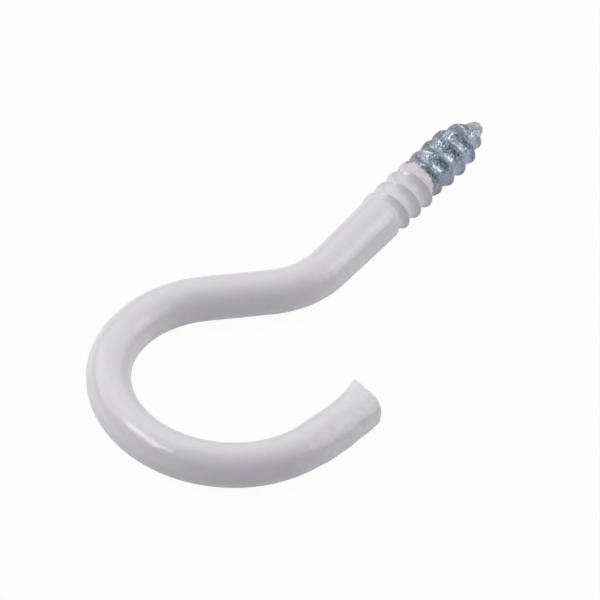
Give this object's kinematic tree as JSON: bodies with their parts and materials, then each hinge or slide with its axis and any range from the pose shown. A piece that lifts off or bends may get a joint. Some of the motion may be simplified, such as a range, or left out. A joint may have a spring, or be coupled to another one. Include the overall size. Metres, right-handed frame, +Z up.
{
  "type": "screw hook",
  "caption": "Open round hook bent from white-coated steel wire, on a straight shank with a wood-screw thread and a gimlet point, for hanging things from wood.",
  "frame": {"origin": "middle of the hook's bounding box in X and Y, on the plane that it rests on", "axes": "the hook lies flat: +X runs along the shank towards the point, +Y to the side that the ring bulges to, and +Z up out of the hook's plane"},
  "size_m": [0.0592, 0.0286, 0.005],
  "materials": {
    "white_coat": "glossy white lacquer, slightly soft at the edges, over all but the point half of the thread",
    "zinc_plate": "blue-grey zinc plating on the bare part of the thread, speckled with small dark pits, beige at the blunt tip"
  },
  "bodies": {
    "root": {"screw_hook": "white_coat"}
  },
  "joints": []
}
